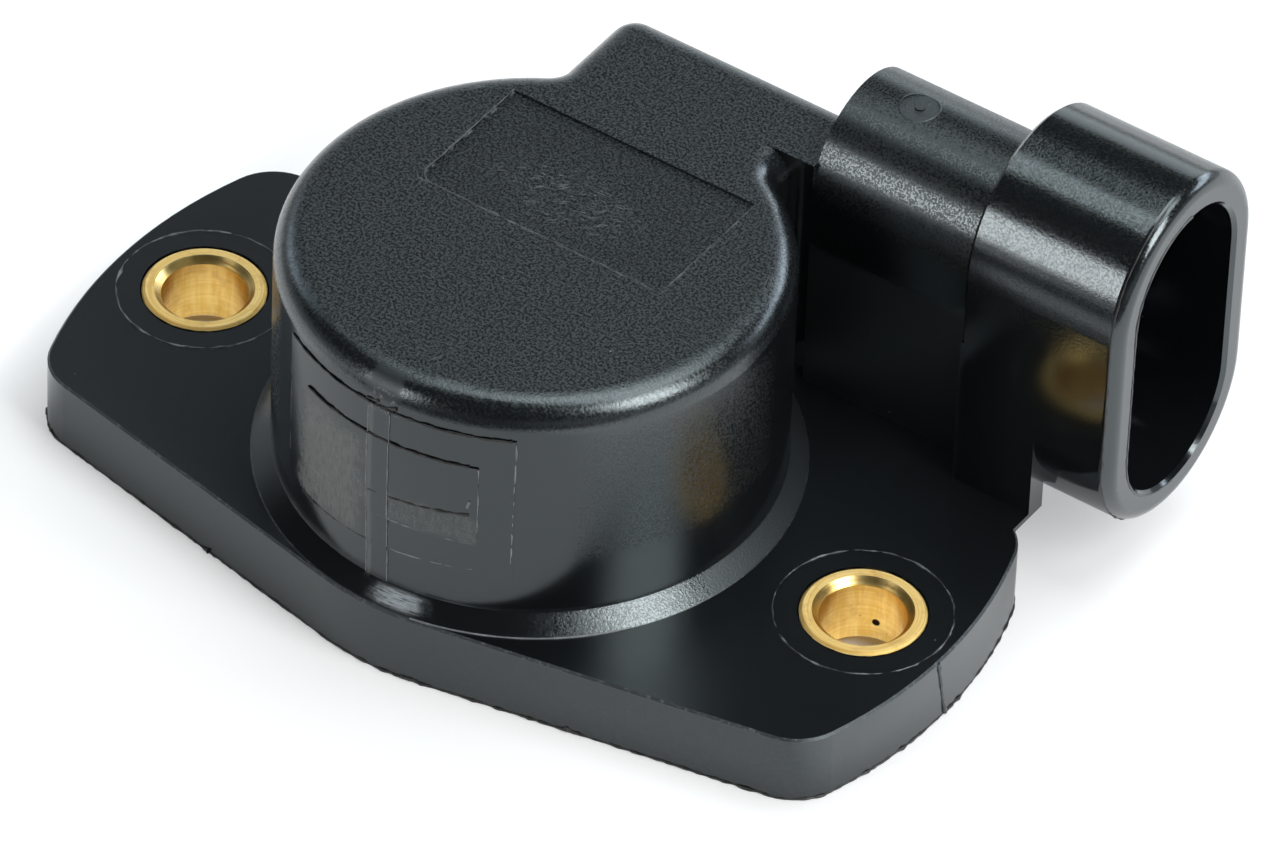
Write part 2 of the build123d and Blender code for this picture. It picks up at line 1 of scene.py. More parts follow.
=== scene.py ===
# %% [markdown]
# # Throttle position sensor
#
# One black glass-filled moulding holds the two-eared flange, the round body, the neck and the connector.
# Two turned brass bushes line its screw holes, and the works show only from below and through the
# connector's mouth. The CAD frame already gives each shape its size and place, so this lesson adds what
# the frame lacks: the finish of each surface, the small marks that a mould leaves, and studio light.

# %% Load the frame
import json
import math
from types import SimpleNamespace

import bmesh
import bpy
from mathutils import Matrix, Vector


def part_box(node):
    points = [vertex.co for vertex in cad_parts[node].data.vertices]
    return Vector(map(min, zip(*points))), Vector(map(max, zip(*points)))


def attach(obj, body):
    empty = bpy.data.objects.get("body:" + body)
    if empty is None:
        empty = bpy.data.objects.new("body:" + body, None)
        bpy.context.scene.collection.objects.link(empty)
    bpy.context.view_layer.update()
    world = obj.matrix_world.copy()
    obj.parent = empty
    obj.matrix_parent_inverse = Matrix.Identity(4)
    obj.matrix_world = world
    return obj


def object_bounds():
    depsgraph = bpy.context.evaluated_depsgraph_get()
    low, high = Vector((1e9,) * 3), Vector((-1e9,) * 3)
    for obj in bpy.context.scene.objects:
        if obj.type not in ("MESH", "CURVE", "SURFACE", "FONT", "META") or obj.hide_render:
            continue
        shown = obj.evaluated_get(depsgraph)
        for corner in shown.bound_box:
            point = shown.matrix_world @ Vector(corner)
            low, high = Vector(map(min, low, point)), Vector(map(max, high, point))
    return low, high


MM = 0.001
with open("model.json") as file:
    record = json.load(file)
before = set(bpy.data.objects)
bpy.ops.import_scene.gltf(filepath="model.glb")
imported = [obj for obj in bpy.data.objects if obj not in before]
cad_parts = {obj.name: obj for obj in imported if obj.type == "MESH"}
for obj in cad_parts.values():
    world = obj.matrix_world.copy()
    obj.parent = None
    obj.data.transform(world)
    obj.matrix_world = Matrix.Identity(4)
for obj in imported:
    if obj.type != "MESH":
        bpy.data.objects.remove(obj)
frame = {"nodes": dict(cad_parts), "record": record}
cad_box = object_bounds()
nodes = frame["nodes"]
print("nodes", sorted(nodes))
print("CAD box in mm", [[round(c / MM, 2) for c in corner] for corner in cad_box])

bush_low, bush_high = (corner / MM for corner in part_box("right_bush"))
SCREW_X = (bush_low.x + bush_high.x) / 2
BUSH_R = (bush_high.y - bush_low.y) / 2
print("screw holes at", round(SCREW_X, 2), "bush radius", round(BUSH_R, 3))

# %% [markdown]
# ## Camera
#
# The picture was taken from the front right with a long lens, a little over 40 degrees above the table.
# A camera's matrix has the right, up and backward directions as its columns, so they are worked out from
# three angles. A long lens keeps parallel edges nearly parallel, as they are in the picture.

# %% Camera
VIEW_YAW = math.radians(33.18)
VIEW_PITCH = math.radians(41.98)
VIEW_ROLL = math.radians(2.33)
EYE = Vector((264.7, -394.9, 433.5)) * MM
LENS = 362.84
SENSOR = 36.0

level = math.cos(VIEW_PITCH)
backward = Vector((math.sin(VIEW_YAW) * level, -math.cos(VIEW_YAW) * level, math.sin(VIEW_PITCH)))
flat_right = Vector((math.cos(VIEW_YAW), math.sin(VIEW_YAW), 0))
flat_up = backward.cross(flat_right)
right = flat_right * math.cos(VIEW_ROLL) + flat_up * math.sin(VIEW_ROLL)
up = flat_up * math.cos(VIEW_ROLL) - flat_right * math.sin(VIEW_ROLL)

camera_data = bpy.data.cameras.new("camera")
camera_data.lens = LENS
camera_data.sensor_width = SENSOR
camera_data.clip_start = 0.01
camera_data.clip_end = 20
camera = bpy.data.objects.new("camera", camera_data)
camera.matrix_world = Matrix.Translation(EYE) @ Matrix((right, up, backward)).transposed().to_4x4()
bpy.context.scene.collection.objects.link(camera)
bpy.context.scene.camera = camera
print("camera stands", round(EYE.length, 3), "m away")

# %% [markdown]
# ## A small kit for finishes
#
# Every finish below is a node material on Object coordinates. They are turned into millimetres first, so
# that a noise scale of 4 means four cells to the millimetre.

# %% Finish kit


def link(tree, socket_from, socket_to):
    """Joins two sockets of a node tree."""
    tree.links.new(socket_from, socket_to)


class Nodes:
    """Adds nodes to a tree and wires them."""

    def __init__(self, tree):
        self.tree = tree

    def add(self, kind, operation=None, out=0, **inputs):
        """Adds a node, fills its named inputs, and returns one of its outputs."""
        node = self.tree.nodes.new(kind)
        if operation:
            node.operation = operation
        for name, value in inputs.items():
            self.fill(node.inputs[name.replace("_", " ")], value)
        return node.outputs[out]

    def fill(self, socket, value):
        """Links a socket to an output, or sets its number."""
        if isinstance(value, bpy.types.NodeSocket):
            link(self.tree, value, socket)
        else:
            socket.default_value = value

    def chain(self, operation, *values):
        """A chain of one arithmetic step over any number of values."""
        result = values[0]
        for value in values[1:]:
            node = self.tree.nodes.new("ShaderNodeMath")
            node.operation = operation
            self.fill(node.inputs[0], result)
            self.fill(node.inputs[1], value)
            result = node.outputs[0]
        return result

    def times(self, *values):
        return self.chain("MULTIPLY", *values)

    def plus(self, *values):
        return self.chain("ADD", *values)

    def minus(self, a, b):
        return self.chain("SUBTRACT", a, b)

    def most(self, *values):
        return self.chain("MAXIMUM", *values)

    def absolute(self, value):
        """A number without its sign."""
        return self.chain("ABSOLUTE", value, 0.0)

    def vector(self, operation, a, b, out=0):
        """A step over two vectors."""
        node = self.tree.nodes.new("ShaderNodeVectorMath")
        node.operation = operation
        self.fill(node.inputs[0], a)
        self.fill(node.inputs[1], b)
        return node.outputs[out]

    def step(self, value, low, high, at_low=0.0, at_high=1.0):
        """A soft step from one value to another."""
        node = self.tree.nodes.new("ShaderNodeMapRange")
        node.interpolation_type = "SMOOTHSTEP"
        for name, number in zip(("Value", "From Min", "From Max", "To Min", "To Max"),
                                (value, low, high, at_low, at_high)):
            self.fill(node.inputs[name], number)
        return node.outputs[0]


class Finish(Nodes):
    """A node material whose patterns are laid out in millimetres on the object.

    Besides the place itself, reach is the distance from the body's axis, turn the degrees round it from
    the front, and lean how far the surface faces up.
    """

    def __init__(self, name):
        self.material = bpy.data.materials.new(name)
        self.material.use_nodes = True
        super().__init__(self.material.node_tree)
        self.surface = self.tree.nodes["Principled BSDF"]
        where = self.tree.nodes.new("ShaderNodeTexCoord")
        self.place = self.add("ShaderNodeVectorMath", "SCALE", Vector=where.outputs["Object"], Scale=1 / MM)
        self.x, self.y, self.z = self.split(self.place)
        self.lean = self.split(where.outputs["Normal"])[2]
        self.reach = self.span(self.x, self.y)
        turn = self.chain("ARCTAN2", self.x, self.times(self.y, -1.0))
        self.turn = self.times(turn, 180 / math.pi)

    def split(self, vector):
        """The three parts of a vector."""
        node = self.tree.nodes.new("ShaderNodeSeparateXYZ")
        link(self.tree, vector, node.inputs[0])
        return node.outputs[0], node.outputs[1], node.outputs[2]

    def span(self, a, b):
        """The length of the long side of a right triangle."""
        return self.chain("POWER", self.plus(self.times(a, a), self.times(b, b)), 0.5)

    def join(self, x, y, z=0.0):
        """A place made of three numbers."""
        node = self.tree.nodes.new("ShaderNodeCombineXYZ")
        for socket, value in zip(node.inputs, (x, y, z)):
            self.fill(socket, value)
        return node.outputs[0]

    def between(self, value, low, high, soft):
        """One inside a span and zero outside it, with soft ends."""
        return self.times(self.step(value, low - soft, low), self.step(value, high, high + soft, 1.0, 0.0))

    def near(self, value, middle, width, soft):
        """One on a line and zero away from it."""
        away = self.absolute(self.minus(value, middle))
        return self.step(away, width / 2, width / 2 + soft, 1.0, 0.0)

    def noise(self, scale, detail=2.0, rough=0.5, stretch=None, place=None):
        """Smooth noise, with a scale in cells per millimetre, stretched along an axis if asked."""
        place = place or self.place
        if stretch:
            place = self.vector("MULTIPLY", place, stretch)
        return self.add("ShaderNodeTexNoise", Vector=place, Scale=scale, Detail=detail, Roughness=rough)

    def specks(self, scale, size, kept=0.3):
        """Small round spots in a share of the cells of a cell pattern."""
        node = self.tree.nodes.new("ShaderNodeTexVoronoi")
        link(self.tree, self.place, node.inputs["Vector"])
        node.inputs["Scale"].default_value = scale
        chosen = self.step(self.split(node.outputs["Color"])[0], kept, kept - 0.02)
        return self.times(self.step(node.outputs["Distance"], size, 0.5 * size), chosen)

    def blend(self, share, a, b):
        """A colour between two colours."""
        node = self.tree.nodes.new("ShaderNodeMix")
        node.data_type = "RGBA"
        self.fill(node.inputs[0], share)
        for socket, colour in ((node.inputs[6], a), (node.inputs[7], b)):
            self.fill(socket, colour if isinstance(colour, bpy.types.NodeSocket) else (*colour, 1))
        return node.outputs[2]

    def level(self, share, a, b):
        """A number between two numbers."""
        node = self.tree.nodes.new("ShaderNodeMix")
        for socket, value in zip((node.inputs[0], node.inputs[2], node.inputs[3]), (share, a, b)):
            self.fill(socket, value)
        return node.outputs[0]

    def relief(self, *heights):
        """Joins heights in millimetres into one bump on the surface."""
        node = self.tree.nodes.new("ShaderNodeBump")
        node.inputs["Strength"].default_value = 1.0
        node.inputs["Distance"].default_value = MM
        link(self.tree, self.plus(*heights), node.inputs["Height"])
        link(self.tree, node.outputs[0], self.surface.inputs["Normal"])

    def paint(self, **values):
        """Fills the shader's own sockets."""
        for name, value in values.items():
            if isinstance(value, tuple):
                value = (*value, 1)
            self.fill(self.surface.inputs[name.replace("_", " ")], value)


print("finish kit ready")

# %% [markdown]
# ## Floor and light
#
# Black plastic shows little colour of its own: what we see is mostly the room mirrored in it. So the
# lamps are placed by what each surface reflects. The upright walls mirror the white table. A wide lamp
# overhead makes the pale band along the body's rounded edge, and a small one beside it the upper streak
# on the connector. A bright one on the right lights the foot of the body, one at the front left makes
# the white streak along the connector's side, one on the left puts a spot on the body's far shoulder,
# and two low ones behind give the far edges a thin light.
# Higher up behind the object the room is dark, which keeps the flat tops dark.
#
# The table is a white sheet. It glows a little for the camera and for reflections, so that it reads as
# white while it still takes the object's shadow. For everything but the camera it ends not far in front
# of the object, on the photographer's dark side. It is see-through from below, where the works are looked
# at, and cut out under the object, so that its underside mirrors the room and not its own shadow.

# %% Floor
FLOOR_SIZE = 3.0
FLOOR_DROP = 0.02 * MM
FLOOR_GLOW = 0.35
FAR_GLOW = 0.65
MIRRORED_GLOW = 0.1
SIDE_GLOW = 0.5
HOLE_GLOW = 0.42
SHEET_FRONT = -46.0
SHEET_LEFT = -60.0
SHEET_PALE = (0.655, 0.64, 0.638)
SHEET_DARK = (0.10, 0.10, 0.10)
BODY_HALF = (17.0, 12.5)
EARS_HALF = (23.8, 6.5)


def table_sheet():
    """A white sheet under the object, seen only from above."""
    half = FLOOR_SIZE / 2
    z = cad_box[0].z - FLOOR_DROP
    mesh = bpy.data.meshes.new("table_sheet")
    corners = [(-half, -half, z), (half, -half, z), (half, half, z), (-half, half, z)]
    mesh.from_pydata(corners, [], [(0, 1, 2, 3)])
    sheet = bpy.data.objects.new("table_sheet", mesh)
    bpy.context.scene.collection.objects.link(sheet)
    return sheet


def white_table():
    """Paper that reads as white for the camera and ends not far in front for everything else."""
    f = Finish("white_table")
    path = f.tree.nodes.new("ShaderNodeLightPath")
    camera_ray, glossy_ray = path.outputs["Is Camera Ray"], path.outputs["Is Glossy Ray"]
    on_sheet = f.most(f.step(f.y, SHEET_FRONT - 10.0, SHEET_FRONT + 10.0),
                      f.step(f.x, SHEET_LEFT + 15.0, SHEET_LEFT - 15.0))
    pale = f.most(camera_ray, on_sheet)
    aside = f.absolute(f.x)
    from_screw = f.span(f.minus(aside, SCREW_X), f.y)
    under_hole = f.step(from_screw, BUSH_R, 0.8 * BUSH_R)
    under_body = f.span(f.times(f.x, 1 / BODY_HALF[0]), f.times(f.y, 1 / BODY_HALF[1]))
    under_body = f.step(under_body, 1.0, 0.88)
    under_ears = f.times(f.step(aside, EARS_HALF[0], EARS_HALF[0] - 1.8),
                         f.step(f.absolute(f.y), EARS_HALF[1], EARS_HALF[1] - 1.3))
    cut_out = f.times(f.most(under_body, under_ears), f.step(from_screw, BUSH_R, 1.3 * BUSH_R))
    to_sides = f.step(aside, 23.5, 27.5, MIRRORED_GLOW, SIDE_GLOW)
    seen_once = f.step(path.outputs["Glossy Depth"], 1.6, 1.4)
    mirrored = f.times(glossy_ray, on_sheet, f.plus(to_sides, f.times(under_hole, seen_once, HOLE_GLOW)))
    far_off = f.step(aside, 25.0, 32.0, FLOOR_GLOW, FAR_GLOW)
    seen = f.times(camera_ray, far_off, f.minus(1.0, under_hole))
    backfacing = f.add("ShaderNodeNewGeometry", out="Backfacing")
    f.paint(
        Base_Color=f.blend(pale, SHEET_DARK, SHEET_PALE),
        Emission_Color=(1.0, 1.0, 1.0),
        Emission_Strength=f.plus(seen, mirrored),
        Alpha=f.times(f.minus(1.0, backfacing), f.minus(1.0, cut_out)),
        Roughness=1.0,
        Specular_IOR_Level=0.0,
    )
    return f.material


sheet = table_sheet()
sheet.data.materials.append(white_table())
print("table sheet", FLOOR_SIZE, "m square")

# %% Lamps
TARGET = Vector((0.005, 0.004, 0.009))


def softbox(name, direction, distance, width, height, power, tint, along=None):
    """A rectangular lamp that faces the object from a direction, level or with its width along a line."""
    data = bpy.data.lights.new(name, "AREA")
    data.shape = "RECTANGLE"
    data.size = width
    data.size_y = height
    data.energy = power
    data.color = tint
    lamp = bpy.data.objects.new(name, data)
    aim = Vector(direction).normalized()
    long_side = Vector(along) if along else Vector((-aim.y, aim.x, 0))
    upright = aim.cross(long_side).normalized()
    lamp.matrix_world = Matrix((upright.cross(aim), upright, aim)).transposed().to_4x4()
    lamp.location = TARGET + aim * distance
    bpy.context.scene.collection.objects.link(lamp)
    return lamp


ALONG_X = (1, 0, 0)
softbox("overhead_box", (0.105, 0.215, 1.0), 0.61, 0.53, 0.36, 2.3, (0.90, 0.98, 1.0), ALONG_X)
softbox("connector_strip", (-0.38, -0.105, 1.0), 0.63, 0.06, 0.21, 0.15, (0.90, 0.98, 1.0), ALONG_X)
softbox("right_box", (0.755, -0.04, 0.655), 0.6, 0.26, 0.345, 2.7, (0.97, 1.0, 1.0))
softbox("front_left_box", (-0.39, -0.88, 0.30), 0.7, 0.14, 0.32, 0.98, (1.0, 1.0, 1.0))
softbox("left_window", (-0.86, 0.20, 0.47), 0.7, 0.28, 0.24, 0.4, (0.78, 0.90, 1.0))
softbox("back_strip", (0.25, 0.9, 0.36), 0.7, 0.6, 0.18, 1.6, (0.80, 0.90, 1.0))
softbox("backdrop", (-0.42, 0.85, 0.26), 0.8, 0.5, 0.25, 0.5, (0.86, 0.95, 1.0))

# %% Room
LOW_GLOW = 0.42
HIGH_GLOW = 0.03
UNDER_GLOW = 0.6
DARK_SIDE = Vector((0.0, -1.0, 0.0))
DARK_SHARE = 0.30
ROOM_TINT = (0.92, 0.97, 1.0, 1)


def dim_room():
    """A dark room with a pale glow low down, where its walls catch the lamps, less so in front."""
    world = bpy.data.worlds.new("dim_room")
    bpy.context.scene.world = world
    world.use_nodes = True
    n = Nodes(world.node_tree)
    sky = n.tree.nodes["Background"]
    where = n.tree.nodes.new("ShaderNodeTexCoord").outputs["Generated"]
    height = n.add("ShaderNodeSeparateXYZ", out=2, Vector=where)
    glow = n.step(height, 0.12, 0.42, LOW_GLOW, HIGH_GLOW)
    glow = n.plus(glow, n.step(height, -0.1, -0.3, 0.0, UNDER_GLOW))
    facing = n.vector("DOT_PRODUCT", where, DARK_SIDE, "Value")
    n.fill(sky.inputs["Strength"], n.times(glow, n.step(facing, 0.68, 0.90, 1.0, DARK_SHARE)))
    sky.inputs["Color"].default_value = ROOM_TINT


dim_room()
bpy.context.scene.view_settings.view_transform = "Standard"
print("room", bpy.context.scene.world.name)

# %% [markdown]
# ## Black moulding
#
# The housing came from one mould, but its faces don't look alike: the round top was spark-eroded and is
# matt, the walls were polished and mirror the table, and the connector has a pebbled skin. One material
# tells them apart by height, by place and by how far the surface leans, so no face is picked by hand.
#
# Age shows as well: rough patches inside the window on the front wall, a scrape along the foot below it,
# a chip where the raised band meets the top edge, fine scratches in the sunk panel, and dust. Light is
# painted on too: the scrape along the foot is paled as a painted highlight, the panel's edge is partly a
# painted edge highlight, the band's left side carries a painted highlight, and the left of the flange top a
# painted sheen. Each is a mask made of soft steps and noise, and the colour and roughness are mixed by it.

# %% Where things are on the housing, in millimetres and degrees
BODY_R = 12.9
FOOT_R = 13.4
SHROUD_X = 18.2
FLANGE_TOP = 4.0
TOP_Z = 18.0
GATE_PLACE = (11.2, 16.82)
GATE_R = 1.0
NECK_SIDE = 7.9
NECK_FRONT = 10.6
PANEL_X = 7.25
PANEL_FRONT = 0.17
PANEL_BACK = 8.37
print("front wall radius", BODY_R)

# %% Marks of use on the moulding, and painted light on it
# pale colour of scrapes, also a painted edge highlight on the panel's rim
PALE_SCRAPE_AND_HIGHLIGHT = (0.20, 0.213, 0.230)
# pale colour of the foot's scrape and of its painted highlight
FOOT_SCUFF_AND_HIGHLIGHT = (0.36, 0.385, 0.41)
# grey of the dry patches, also used for a painted highlight on the band
DRY_PATCH_AND_HIGHLIGHT = (0.190, 0.184, 0.168)
DUST = (0.32, 0.33, 0.34)


def window_patches(f):
    """Dry, smeared patches left inside the window on the front wall, strongest at its left end."""
    on_wall = f.times(f.near(f.reach, BODY_R, 0.5, 0.3), f.step(f.z, 5.0, 5.3))
    wobble = f.times(f.minus(f.noise(0.9, 3.0, 0.6), 0.5), 3.0)
    turn = f.plus(f.turn, f.times(wobble, 3.0))
    height = f.plus(f.z, f.times(wobble, 0.5))
    left = f.times(f.between(turn, -22.0, -9.0, 6.0), f.between(height, 7.8, 12.8, 1.3))
    strip = f.times(f.between(f.turn, 2.4, 22.6, 0.7), f.between(height, 9.5, 10.6, 0.4))
    smears = f.noise(1.0, 4.0, 0.7, place=f.join(f.times(f.turn, 1.1), f.times(f.z, 1.3)))
    grit = f.times(f.step(smears, 0.24, 0.64), f.step(f.noise(8.0, 3.0, 0.7), 0.2, 0.7, 0.55, 1.0))
    return f.times(f.most(left, f.times(strip, 0.33)), on_wall, grit)


def foot_scuff_and_highlight(f):
    """The scrape along the body's foot, streaked lengthwise with soft ends; partly a painted highlight."""
    ragged = f.times(f.minus(f.noise(1.6, 4.0, 0.7), 0.5), 6.0)
    band = f.times(f.near(f.reach, 13.35, 0.35, 0.4), f.between(f.z, 4.25, 4.6, 0.3))
    streaks = f.noise(5.0, 5.0, 0.75, place=f.join(f.times(f.turn, 0.045), f.times(f.z, 3.2)))
    ends = f.between(f.plus(f.turn, ragged), 4.0, 8.0, 7.5)
    return f.times(band, ends, ends, f.step(streaks, 0.30, 0.58))


def scrapes(f):
    """The chipped end of the raised band, and scratches in the panel."""
    chip = f.times(f.near(f.turn, 0.3, 4.0, 2.5), f.between(f.z, 16.0, 16.9, 0.3), f.step(f.y, -9.0, -9.5))
    chip = f.times(chip, f.step(f.noise(3.6, 3.0, 0.7), 0.5, 0.66))
    along = f.plus(f.times(f.x, 0.9), f.times(f.y, 0.45))
    across = f.plus(f.times(f.y, 0.9), f.times(f.x, -0.45), f.times(f.noise(0.5, 2.0, 0.5), 1.6))
    hairs = f.noise(1.0, 3.0, 0.7, place=f.join(f.times(along, 0.9), f.times(across, 9.0)))
    hairs = f.step(hairs, 0.58, 0.68)
    spread = f.span(f.times(f.plus(f.x, 0.5), 0.24), f.times(f.minus(f.y, 3.3), 0.45))
    hairs = f.times(hairs, f.step(spread, 1.4, 0.2), f.step(f.z, 17.7, 17.8))
    return f.most(chip, f.times(hairs, 0.7))


def panel_rim_and_highlight(f):
    """The worn edge of the sunk panel on the top, bright in places: wear and a painted edge highlight."""
    along_y = f.between(f.y, PANEL_FRONT, PANEL_BACK, 0.1)
    along_x = f.between(f.x, -PANEL_X, PANEL_X, 0.1)
    side = f.times(f.near(f.absolute(f.x), PANEL_X, 0.05, 0.09), along_y)
    front = f.times(f.near(f.y, PANEL_FRONT, 0.05, 0.09), along_x)
    broken = f.step(f.noise(1.6, 3.0, 0.7), 0.46, 0.66)
    return f.times(f.most(side, front), broken, f.step(f.z, 17.6, 17.7))


def flange_edge(f):
    """The broken upper edge of the flange."""
    return f.times(f.between(f.lean, 0.12, 0.9, 0.08), f.between(f.z, 3.5, 3.99, 0.1))


def gate_mark(f):
    """The sunk round mark on top of the connector's tube, where the plastic came in."""
    away = f.span(f.minus(f.x, GATE_PLACE[0]), f.minus(f.y, GATE_PLACE[1]))
    return f.times(f.step(away, GATE_R + 0.1, GATE_R), f.step(f.z, 17.0, 18.0))


print("marks ready")

# %% Regions of the moulding
def moulding_regions(f):
    """Masks for the stretches of the housing that differ in finish."""
    on = SimpleNamespace(edge=flange_edge(f), gate=gate_mark(f))
    past_neck = f.step(f.x, NECK_SIDE, NECK_SIDE + 0.06)
    on.connector = f.times(past_neck, f.step(f.y, NECK_FRONT, NECK_FRONT + 0.1))
    off_connector = f.minus(1.0, on.connector)
    on.pebbled = f.times(on.connector, f.step(f.z, 14.5, 17.0))
    on.tube = f.step(f.x, SHROUD_X, SHROUD_X - 0.5)
    on.under_tube = f.times(on.connector, f.step(f.z, 13.5, 12.5), f.step(f.x, 18.5, 17.5))

    on.top = f.times(f.step(f.z, 16.2, 17.6), f.step(f.lean, 0.86, 0.97), off_connector)
    on.top_round = f.times(f.step(f.z, 15.9, 16.5), f.between(f.lean, 0.12, 0.97, 0.06), off_connector)
    on.band_end = f.near(f.turn, -0.2, 6.0, 2.0)
    on.panel = f.times(f.step(f.absolute(f.x), PANEL_X, PANEL_X - 0.1), f.step(f.z, 17.95, 17.9),
                       f.between(f.y, PANEL_FRONT, PANEL_BACK, 0.05))

    side_turn = f.most(f.between(f.turn, 50.0, 95.0, 10.0), f.between(f.turn, -75.0, -44.0, 8.0))
    on.side_wall = f.times(side_turn, f.between(f.z, 9.0, 15.5, 1.5))
    # the left side of the raised band, which gets a painted highlight
    on.shoulder = f.times(f.near(f.turn, -2.9, 0.8, 0.8), f.between(f.z, 5.0, 15.8, 0.4),
                          f.step(f.reach, 12.5, 12.8))

    on.foot = f.times(f.near(f.reach, FOOT_R, 0.8, 0.2), f.between(f.z, 4.05, 4.85, 0.05))
    on.gritty_foot = f.times(on.foot, f.step(f.turn, 30.0, 46.0))
    on.far_foot = f.times(on.foot, f.step(f.turn, 70.0, 82.0))
    on.flange = f.times(f.step(f.lean, 0.80, 0.98), f.step(f.z, 4.4, 4.9, 1.0, 0.0))
    on.low_side = f.times(f.step(f.lean, 0.6, 0.4), f.step(f.z, 3.95, 3.85))
    return on


def moulding_grain(f):
    """The grain of the moulding at several sizes."""
    coarse = f.noise(7.0, 3.0, 0.65)
    return SimpleNamespace(
        coarse=coarse,
        peaks=f.step(coarse, 0.42, 0.60),
        fine=f.noise(13.0, 3.0, 0.6),
        pebbles=f.plus(f.noise(7.0, 2.0, 0.6), f.times(f.noise(14.0, 2.0, 0.6), 0.5)),
        sparkle=f.step(f.noise(9.0, 2.0, 0.6), 0.38, 0.62),
        waves=f.noise(0.35, 1.0, 0.4),
        cloud=f.noise(0.25, 4.0, 0.6),
    )


def moulding_wear(f, on, grain):
    """Where the moulding is scratched, chipped, scuffed, dry or dusty, and where sheen and highlights are
    painted on.
    """
    nicked = f.times(on.edge, f.step(f.noise(4.5, 4.0, 0.75), 0.53, 0.65))
    wear = SimpleNamespace(
        # painted sheen: the flange top turns paler towards the left
        sheen_on_left=f.times(on.flange, f.step(f.x, 4.0, -12.0), f.step(grain.fine, 0.2, 0.8, 0.5, 1.0)),
        scraped_and_highlight=f.most(scrapes(f), f.times(panel_rim_and_highlight(f), 0.6), f.times(nicked, 0.4)),
        # the scrape along the foot, partly a painted highlight
        scuffed=foot_scuff_and_highlight(f),
        dry=window_patches(f),
        dusty=f.times(f.specks(0.55, 0.035), f.step(grain.cloud, 0.40, 0.55)),
    )
    wear.dull = f.most(wear.scraped_and_highlight, wear.scuffed, wear.dry)
    return wear


print("regions ready")

# %% Black moulding
DEEP_BLACK = (0.0040, 0.0047, 0.0053)
SOFT_BLACK = (0.0070, 0.0079, 0.0087)
# paler black for grain peaks on the low sides and for the painted sheen on the flange
GRAIN_AND_SHEEN_BLACK = (0.0190, 0.0205, 0.0225)
MATT_LOW = (0.0012, 0.0017, 0.0022)
MATT_HIGH = (0.0190, 0.0215, 0.0240)
BLURRED = 0.48
DULL = 0.62


def moulding_colour(f, on, grain, wear):
    """Near black, paler where the grain stands up, where the plastic is worn, and where light is painted on.
    """
    colour = f.blend(grain.cloud, DEEP_BLACK, SOFT_BLACK)
    # painted sheen on the left of the flange top
    colour = f.blend(wear.sheen_on_left, colour, GRAIN_AND_SHEEN_BLACK)
    colour = f.blend(f.times(on.low_side, grain.peaks), colour, GRAIN_AND_SHEEN_BLACK)
    colour = f.blend(on.top, colour, f.blend(grain.peaks, MATT_LOW, MATT_HIGH))
    colour = f.blend(f.times(on.top, on.panel, 0.35), colour, DEEP_BLACK)
    # painted highlight: the band's left side is paled, as if it caught the light
    colour = f.blend(f.times(on.shoulder, 0.35), colour, DRY_PATCH_AND_HIGHLIGHT)
    colour = f.blend(wear.dry, colour, DRY_PATCH_AND_HIGHLIGHT)
    # scrapes, and the panel's rim as a painted edge highlight
    colour = f.blend(wear.scraped_and_highlight, colour, PALE_SCRAPE_AND_HIGHLIGHT)
    # scrape and painted highlight along the foot
    colour = f.blend(wear.scuffed, colour, FOOT_SCUFF_AND_HIGHLIGHT)
    return f.blend(wear.dusty, colour, DUST)


def moulding_roughness(f, on, grain, wear):
    """Polished walls, a pebbled connector, matt tops and dull marks of use."""
    rough = f.level(f.noise(0.6, 3.0, 0.6), 0.13, 0.19)
    rough = f.level(on.side_wall, rough, f.level(grain.peaks, 0.20, 0.40))
    rough = f.level(on.top_round, rough, f.level(on.band_end, f.level(grain.peaks, 0.16, 0.30), 0.45))
    skin = f.level(on.tube, f.level(grain.sparkle, 0.09, 0.25), f.level(grain.sparkle, 0.20, 0.42))
    rough = f.level(on.connector, rough, f.level(on.pebbled, 0.11, skin))
    rough = f.level(f.most(on.gate, on.edge), rough, BLURRED)
    rough = f.level(on.gritty_foot, rough, f.level(grain.sparkle, 0.10, 0.34))
    rough = f.level(f.most(on.under_tube, on.far_foot), rough, BLURRED)
    rough = f.level(on.flange, rough, f.level(wear.sheen_on_left, 0.18, 0.27))
    rough = f.level(on.top, rough, f.level(grain.peaks, 0.20, f.level(on.panel, 0.39, 0.37)))
    return f.level(wear.dull, rough, DULL)


def black_moulding():
    """Glass-filled black plastic: matt tops, glossy walls, a pebbled connector and marks of use."""
    f = Finish("black_moulding")
    on = moulding_regions(f)
    grain = moulding_grain(f)
    wear = moulding_wear(f, on, grain)
    f.relief(
        f.times(on.top, grain.coarse, 0.018),
        f.times(on.top_round, grain.coarse, 0.010),
        f.times(f.most(on.side_wall, on.low_side), grain.coarse, 0.006),
        f.times(f.level(on.pebbled, 0.0015, 0.004), grain.pebbles),
        f.times(on.gate, grain.coarse, 0.040),
        f.times(on.flange, grain.fine, 0.007),
        f.times(on.foot, grain.pebbles, f.step(f.turn, 8.0, 22.0, 0.002, 0.010)),
        f.times(wear.dull, grain.coarse, 0.025),
        f.times(grain.waves, 0.010),
    )
    f.paint(
        Base_Color=moulding_colour(f, on, grain, wear),
        Roughness=moulding_roughness(f, on, grain, wear),
        IOR=1.80,
        Specular_Tint=(0.88, 0.97, 1.0),
    )
    return f.material


finishes = {"black_plastic": black_moulding()}
print("finishes", sorted(finishes))

# %% [markdown]
# ## Turned brass
#
# The bushes were turned on a lathe, so their flat faces carry fine rings and the drilled bore carries
# faint lengthwise streaks. A thin film of oxide dulls the faces, so they are not quite as metallic as the
# bore. Both bushes share one material: taking the screw hole's distance from the size of x puts each of
# them round its own axis.

# %% Turned brass
BORE_R = 2.2
BORE_SPECK = Vector((19.44, 2.14, 1.4))


